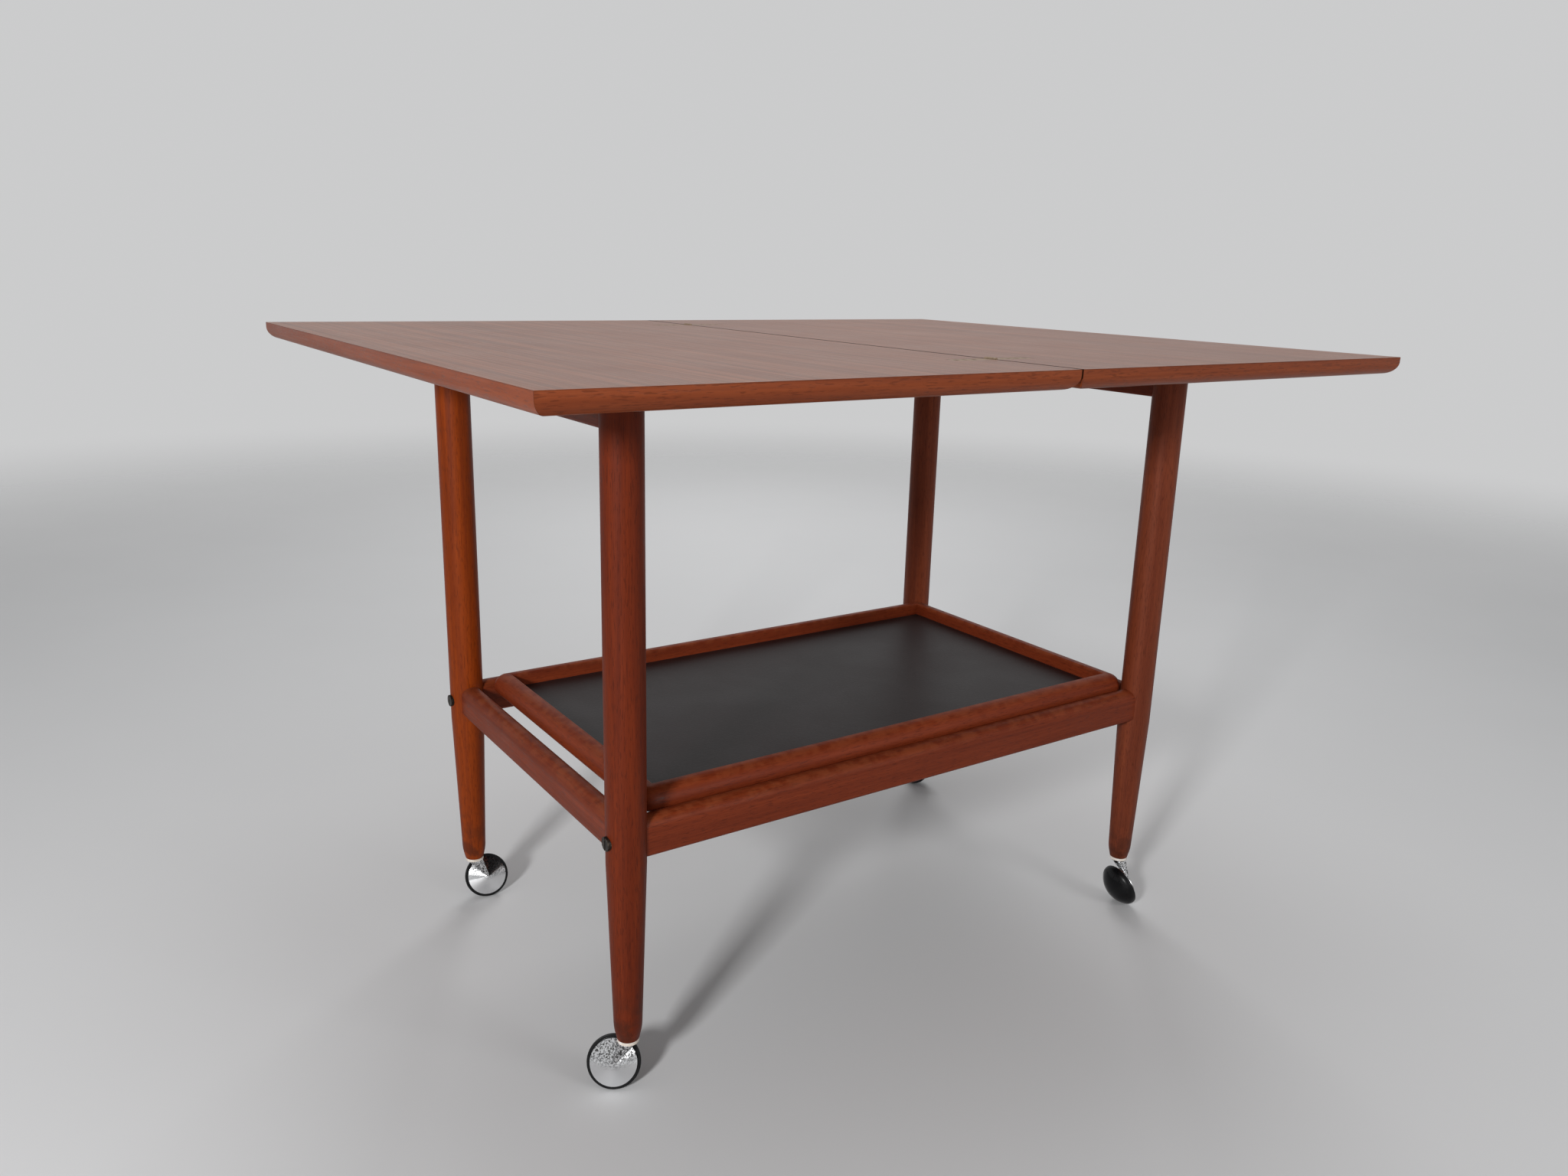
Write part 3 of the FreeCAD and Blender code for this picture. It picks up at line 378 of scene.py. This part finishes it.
wheel_black = black("wheel_black", shine=0.05, dust=0.01, texture=0.004)
tyre_black = black("tyre_black", shine=0.28, dust=0.08, texture=0.03)
dress(wheel_black, *[f"caster_wheel_{corner}" for corner in CORNERS])
dress(tyre_black, *[f"caster_tyre_{corner}" for corner in CORNERS])

# Leaf boards: the two halves of the top, boards veneered with straight-grained teak along the
# fold in sheets laid side by side. The upper face is oiled to an even satin, the underside is
# left dull, and a dark outline is painted round the hinge plates, partly dirt and partly painted
# shade of the joint gap.
VENEER_PALE = (0.338, 0.128, 0.064, 1.0)
VENEER_DEEP = (0.148, 0.051, 0.025, 1.0)
VENEER_ACROSS = 285.0
VENEER_ALONG = 1.6
VENEER_SPREAD = 0.10
VENEER_SHINE = 0.34
VENEER_UNEVEN = 0.015
VENEER_FILM = 0.60
BARE_FILM = 0.10
SHEET_WIDTH = 0.110
SHEET_DEEPER = 0.14
FACING_UP = 0.9
SEAT_DIRT_AND_SHADE = (0.030, 0.010, 0.005, 1.0)
SEAT_GAP = 0.0006
HINGE_WIDTH = 0.014


def hinge_seats(tree, apart):
    """Where a dark outline is painted round the plates of the hinges let into the upper face: partly dirt,
    partly painted shade of the joint gap.
    """
    low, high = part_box("hinge_plates_folding")
    half_width = HINGE_WIDTH / 2
    off_hinge = reckon(tree, "SUBTRACT", reckon(tree, "ABSOLUTE", apart["Y"]), high.y - half_width)
    beside = fade(tree, reckon(tree, "ABSOLUTE", off_hinge), half_width + SEAT_GAP, half_width)
    within = fade(tree, reckon(tree, "ABSOLUTE", apart["X"]), high.x + SEAT_GAP, high.x)
    above = reckon(tree, "GREATER_THAN", apart["Z"], low.z)
    return reckon(tree, "MULTIPLY", reckon(tree, "MULTIPLY", beside, within), above)


def upper_face(tree):
    """One on the upper face of a leaf, which is oiled often, and nothing elsewhere."""
    facing = add(tree, "TexCoord").outputs["Normal"]
    return reckon(tree, "GREATER_THAN", split(tree, facing)["Z"], FACING_UP)


def veneer_face(tree, place):
    """Colour and relief of the veneer, whose sheets each have a run of grain of their own."""
    apart = split(tree, place)
    sheet = reckon(tree, "FLOOR", reckon(tree, "DIVIDE", apart["X"], SHEET_WIDTH))
    luck = add(tree, "TexWhiteNoise", {"W": sheet}, noise_dimensions="1D").outputs["Value"]
    along = reckon(tree, "ADD", apart["Y"], luck)
    shifted = add(tree, "CombineXYZ", {"X": apart["X"], "Y": along, "Z": apart["Z"]}).outputs["Vector"]
    colour, relief = grain(tree, shifted, "y", VENEER_PALE, VENEER_DEEP, VENEER_ACROSS, VENEER_ALONG,
                           VENEER_SPREAD)
    colour = mix(tree, between(tree, luck, 0.0, SHEET_DEEPER), colour, VENEER_DEEP)
    # A dark outline round the hinge plates: partly dirt, partly painted shade of the joint gap.
    return mix(tree, hinge_seats(tree, apart), colour, SEAT_DIRT_AND_SHADE), relief


veneer, tree, shader = start_finish("teak_veneer")
place = here(tree)
colour, relief = veneer_face(tree, place)
finish_wood(tree, shader, place, colour, relief, VENEER_SHINE, VENEER_FILM, VENEER_UNEVEN)
feed(tree, shader, {"Specular IOR Level": between(tree, upper_face(tree), BARE_FILM, VENEER_FILM)})
dress(veneer, "fixed_leaf_panel", "folding_leaf_panel")

# Lippings: solid teak strips glued round each board, mitred at the corners and rounded over
# underneath, with the grain along each strip. The veneer runs over them to the edge, where its
# glue line shows dark. The two edges that meet at the fold are painted dark, with their sheen
# taken off: partly dirt and partly painted shade of the narrow gap between the leaves.
LIPPING_PALE = (0.285, 0.065, 0.020, 1.0)
LIPPING_DEEP = (0.165, 0.033, 0.010, 1.0)
LIPPING_ACROSS = 75.0
LIPPING_UNEVEN = 0.02
LIPPING_FILM = 0.14
OIL_IOR = 1.5
DIRT_AND_SHADE_IOR = 1.05
GLUE_AND_GAP_SHADE = (0.030, 0.010, 0.005, 1.0)
GLUE_AMOUNT = 0.3
GLUE_HEIGHT = 0.0003
VENEER_THICKNESS = 0.0006
MITRE_GAP = (0.0003, 0.0001)
MITRE_AMOUNT = 0.6
DIRT_AND_SHADE_START = {"side": 0.0013, "top": 0.0030}
DIRT_AND_SHADE_FULL = {"side": 0.0007, "top": 0.0017}


def mix_numbers(tree, share, first, second):
    """A number from first to second, from the mixing node's sockets for numbers."""
    return add(tree, "Mix", {0: share, 2: first, 3: second}).outputs[0]


for leaf in ("fixed", "folding"):
    lipping, tree, shader = start_finish(f"{leaf}_leaf_lipping_teak")
    low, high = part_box(f"{leaf}_leaf_lipping")
    middle = (low + high) / 2
    half = (high - low) / 2
    place = here(tree)
    apart = split(tree, place)
    gaps = {}
    for axis, centre, reach in (("X", middle.x, half.x), ("Y", middle.y, half.y)):
        out = reckon(tree, "ABSOLUTE", reckon(tree, "SUBTRACT", apart[axis], centre))
        gaps[axis] = reckon(tree, "SUBTRACT", reach, out)
    beyond = reckon(tree, "SUBTRACT", gaps["X"], gaps["Y"])
    end_strip = reckon(tree, "GREATER_THAN", beyond, 0.0)
    side_colour, side_relief = grain(tree, place, "y", LIPPING_PALE, LIPPING_DEEP, LIPPING_ACROSS)
    end_colour, end_relief = grain(tree, place, "x", LIPPING_PALE, LIPPING_DEEP, LIPPING_ACROSS)
    colour = mix(tree, end_strip, side_colour, end_colour)
    relief = mix_numbers(tree, end_strip, side_relief, end_relief)
    mitre = fade(tree, reckon(tree, "ABSOLUTE", beyond), *MITRE_GAP, 0.0, MITRE_AMOUNT)
    glue_top = high.z - VENEER_THICKNESS
    glue = fade(tree, apart["Z"], glue_top - GLUE_HEIGHT, glue_top, 0.0, GLUE_AMOUNT)
    colour = mix(tree, reckon(tree, "MAXIMUM", mitre, glue), colour, GLUE_AND_GAP_SHADE)
    upper = upper_face(tree)
    top_colour, top_relief = veneer_face(tree, place)
    colour = mix(tree, upper, colour, top_colour)
    relief = mix_numbers(tree, upper, relief, top_relief)
    # Along the fold the colour is darkened and the sheen taken off: partly dirt, partly painted shade of
    # the gap between the leaves.
    dirt_and_shade_start = between(tree, upper, DIRT_AND_SHADE_START["side"], DIRT_AND_SHADE_START["top"])
    dirt_and_shade_full = between(tree, upper, DIRT_AND_SHADE_FULL["side"], DIRT_AND_SHADE_FULL["top"])
    at_fold = fade(tree, reckon(tree, "ABSOLUTE", apart["X"]), dirt_and_shade_start, dirt_and_shade_full)
    colour = mix(tree, at_fold, colour, GLUE_AND_GAP_SHADE)
    finish_wood(tree, shader, place, colour, relief, VENEER_SHINE, LIPPING_FILM, LIPPING_UNEVEN)
    feed(tree, shader, {
        "Specular IOR Level": between(tree, upper, LIPPING_FILM, VENEER_FILM),
        "IOR": between(tree, at_fold, OIL_IOR, DIRT_AND_SHADE_IOR),
    })
    dress(lipping, f"{leaf}_leaf_lipping")

# Hinges: two brass hinges let in flush across the fold, each of two plates on one pin with
# countersunk screws. The brass has dulled to a greyish yellow, and the screws, whose slots
# hold polish and dirt, are darker than the plates.
BRASS_BROWN = (0.300, 0.222, 0.150, 1.0)
BRASS_BRIGHT = (0.430, 0.335, 0.240, 1.0)
BRASS_EDGE = (0.830, 0.745, 0.720, 1.0)
BRASS_METAL = 0.95
BRASS_ROUGH = (0.48, 0.38)
PLATE_TONES = (1.0, 1.0, 1.0)
SCREW_TONES = (0.58, 0.52, 0.45)
TARNISH_PER_METRE = 260.0
TARNISH_RANGE = (0.35, 0.70)
BROWN_PLACE = 0.38
BRIGHT_PLACE = 0.68


def aged_brass(name, tones):
    """Brass mottled by tarnish, as it is on the plates or deeper."""
    finish, tree, shader = start_finish(name)
    tarnish = noise(tree, here(tree), TARNISH_PER_METRE, detail=6.0, roughness=0.6)
    stops = [(BROWN_PLACE, toned(BRASS_BROWN, tones)), (BRIGHT_PLACE, toned(BRASS_BRIGHT, tones))]
    feed(tree, shader, {
        "Base Color": shade(tree, tarnish, stops),
        "Roughness": fade(tree, tarnish, *TARNISH_RANGE, *BRASS_ROUGH),
        "Metallic": BRASS_METAL,
        "Specular Tint": BRASS_EDGE,
    })
    return finish


dress(aged_brass("plate_brass", PLATE_TONES), "hinge_plates_fixed", "hinge_plates_folding", "hinge_pins")
dress(aged_brass("screw_brass", SCREW_TONES), "hinge_screws_fixed", "hinge_screws_folding")

# Tray: four rounded teak bars, mitred and glued round a panel of black laminate. It lies loose
# on its ledges and lifts out. The upper parts of the bars are painted paler and more orange,
# partly rubbing by hands and partly a painted highlight where light falls on the rounded tops.
# The laminate, moulded with a fine pebble, is dusty and smeared by wiping.
TRAY_PALE = (0.235, 0.040, 0.0115, 1.0)
TRAY_DEEP = (0.135, 0.020, 0.0062, 1.0)
TRAY_RUBBED_AND_LIT = (0.310, 0.080, 0.030, 1.0)
TRAY_SHINE = 0.42
TRAY_RUB_AND_HIGHLIGHT_START = 0.278
TRAY_RUB_AND_HIGHLIGHT_FULL = 0.285
LAMINATE_BLACK = (0.0115, 0.0075, 0.0080, 1.0)
LAMINATE_DUST = (0.0280, 0.0210, 0.0215, 1.0)
LAMINATE_ROUGH = (0.42, 0.47)
LAMINATE_FILM = 0.31
PEBBLES_PER_METRE = 360.0
PEBBLE_RANGE = (0.40, 0.70)
PEBBLE_DUST = 0.35
PEBBLE_BUMP = 0.30
PEBBLE_DEPTH = 0.0004
SMEARS_PER_METRE = 11.0
SMEAR_RANGE = (0.40, 0.75)
SMEAR_DUST = 0.30
# The tray bars' paler upper band is rubbing by hands together with a painted highlight.
rubbed_and_lit_rim = (TRAY_RUB_AND_HIGHLIGHT_START, TRAY_RUB_AND_HIGHLIGHT_FULL, TRAY_RUBBED_AND_LIT, RUB_AND_HIGHLIGHT_AMOUNT)
side_teak = wood("tray_side_teak", "x", TRAY_PALE, TRAY_DEEP, TRAY_SHINE, rubbed_and_lit_rim)
end_teak = wood("tray_end_teak", "y", TRAY_PALE, TRAY_DEEP, TRAY_SHINE, rubbed_and_lit_rim)
dress(side_teak, "tray_bar_front", "tray_bar_back")
dress(end_teak, "tray_bar_left", "tray_bar_right")
laminate, tree, shader = start_finish("black_laminate")
place = here(tree)
pebble = noise(tree, place, PEBBLES_PER_METRE, detail=4.0, roughness=0.6)
smears = noise(tree, place, SMEARS_PER_METRE, detail=6.0, roughness=0.6, distortion=0.5)
smeared = fade(tree, smears, *SMEAR_RANGE, 0.0, SMEAR_DUST)
dusty = reckon(tree, "ADD", smeared, fade(tree, pebble, *PEBBLE_RANGE, 0.0, PEBBLE_DUST))
feed(tree, shader, {
    "Base Color": mix(tree, dusty, LAMINATE_BLACK, LAMINATE_DUST),
    "Roughness": fade(tree, smears, *NOISE_RANGE, *LAMINATE_ROUGH),
    "Normal": bumped(tree, pebble, PEBBLE_BUMP, PEBBLE_DEPTH),
    "Specular IOR Level": LAMINATE_FILM,
})
dress(laminate, "tray_panel")

# Floor and surround: a plain pale floor, a little clouded by wear, that thins out at its rim
# into a pale surround. The surround lights the object less than it shows itself.
FLOOR_PALE = (0.680, 0.683, 0.690, 1.0)
FLOOR_WORN = (0.600, 0.600, 0.605, 1.0)
FLOOR_RADIUS = 6.0
FLOOR_CORNERS = 96
FLOOR_ROUGH = (0.55, 0.62)
FLOOR_FADE = (1.6, 4.5)
CLOUDS_PER_METRE = 3.0
CLOUD_AMOUNT = 0.05
SURROUND = (0.600, 0.602, 0.606, 1.0)
SURROUND_SHOWN = 1.0
SURROUND_LIGHT = 0.31
bpy.ops.mesh.primitive_circle_add(vertices=FLOOR_CORNERS, radius=FLOOR_RADIUS, fill_type="NGON")
floor = bpy.context.object
floor.name = "floor"
pale_floor, tree, shader = start_finish("pale_floor")
place = here(tree)
clouds = noise(tree, place, CLOUDS_PER_METRE, detail=6.0)
worn = fade(tree, clouds, *NOISE_RANGE, 0.0, CLOUD_AMOUNT)
distance = add(tree, "VectorMath", {0: place}, operation="LENGTH").outputs["Value"]
feed(tree, shader, {
    "Base Color": mix(tree, worn, FLOOR_PALE, FLOOR_WORN),
    "Roughness": fade(tree, clouds, *NOISE_RANGE, *FLOOR_ROUGH),
    "Alpha": fade(tree, distance, *FLOOR_FADE, 1.0, 0.0),
})
floor.data.materials.append(pale_floor)

world = bpy.data.worlds.new("surround")
bpy.context.scene.world = world
world.use_nodes = True
tree = world.node_tree
path = add(tree, "LightPath").outputs
mirrored = reckon(tree, "MAXIMUM", path["Is Glossy Ray"], path["Is Transmission Ray"])
seen = reckon(tree, "MAXIMUM", path["Is Camera Ray"], mirrored)
feed(tree, tree.nodes["Background"], {
    "Color": SURROUND,
    "Strength": between(tree, seen, SURROUND_LIGHT, SURROUND_SHOWN),
})


# Lamps: the main one stands to the left of the viewer and a weak one to the right. A wide one
# hangs overhead, and another wide one stands behind, where shiny faces do not mirror it.
def lamp(name, place, aim, width, power, mirrored=True):
    """A soft square lamp that shines from a place towards another, mirrored in shiny faces or not."""
    light = bpy.data.lights.new(name, "AREA")
    light.shape = "SQUARE"
    light.size = width
    light.energy = power
    stand = bpy.data.objects.new(name, light)
    stand.location = place
    stand.visible_glossy = mirrored
    stand.rotation_euler = (Vector(aim) - Vector(place)).to_track_quat("-Z", "Y").to_euler()
    bpy.context.scene.collection.objects.link(stand)


lamp("left_lamp", place=(-2.1, -1.4, 1.25), aim=(0.0, 0.0, 0.35), width=0.3, power=45.0)
lamp("right_lamp", place=(0.8, -2.3, 1.2), aim=(0.0, 0.0, 0.35), width=0.8, power=10.0)
lamp("top_lamp", place=(0.3, 0.4, 2.8), aim=(0.0, 0.0, 0.3), width=1.6, power=14.0)
lamp("back_lamp", place=(1.5, 2.2, 2.0), aim=(0.0, 0.0, 0.35), width=1.4, power=33.0, mirrored=False)

# Camera: stands in front of the left end, just above the top, and looks down a little, as the
# photograph was taken.
CAMERA_PLACE = (-0.74071, -1.03963, 0.73566)
CAMERA_TURN = (74.6888, -1.4649, -33.9791)
CAMERA_LENS = 27.174
SENSOR_WIDTH = 36.0
view = bpy.data.cameras.new("camera")
view.sensor_fit = "HORIZONTAL"
view.sensor_width = SENSOR_WIDTH
view.lens = CAMERA_LENS
viewer = bpy.data.objects.new("camera", view)
viewer.location = CAMERA_PLACE
viewer.rotation_euler = [math.radians(angle) for angle in CAMERA_TURN]
bpy.context.scene.collection.objects.link(viewer)
bpy.context.scene.camera = viewer
bpy.context.scene.view_settings.view_transform = "Standard"
